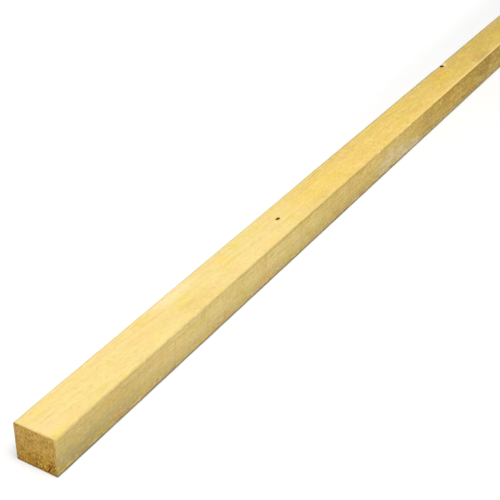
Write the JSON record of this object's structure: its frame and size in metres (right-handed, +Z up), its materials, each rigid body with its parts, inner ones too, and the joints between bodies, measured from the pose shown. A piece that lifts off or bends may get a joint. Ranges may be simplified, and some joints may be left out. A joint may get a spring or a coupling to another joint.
{
  "type": "roof batten",
  "caption": "Straight length of sawn softwood, nearly square in section, nailed across rafters to carry tiles or sheets.",
  "frame": {"origin": "on the underside, under the middle of the length and of the width", "axes": "+X along the grain, away from the end with the split in it; +Y towards the side with the knot hole at its arris; +Z up from the underside"},
  "size_m": [1.8, 0.038, 0.035],
  "materials": {
    "sawn_softwood": "rough sawn, unplaned, no coating"
  },
  "bodies": {
    "root": {"batten": "sawn_softwood"}
  },
  "joints": []
}
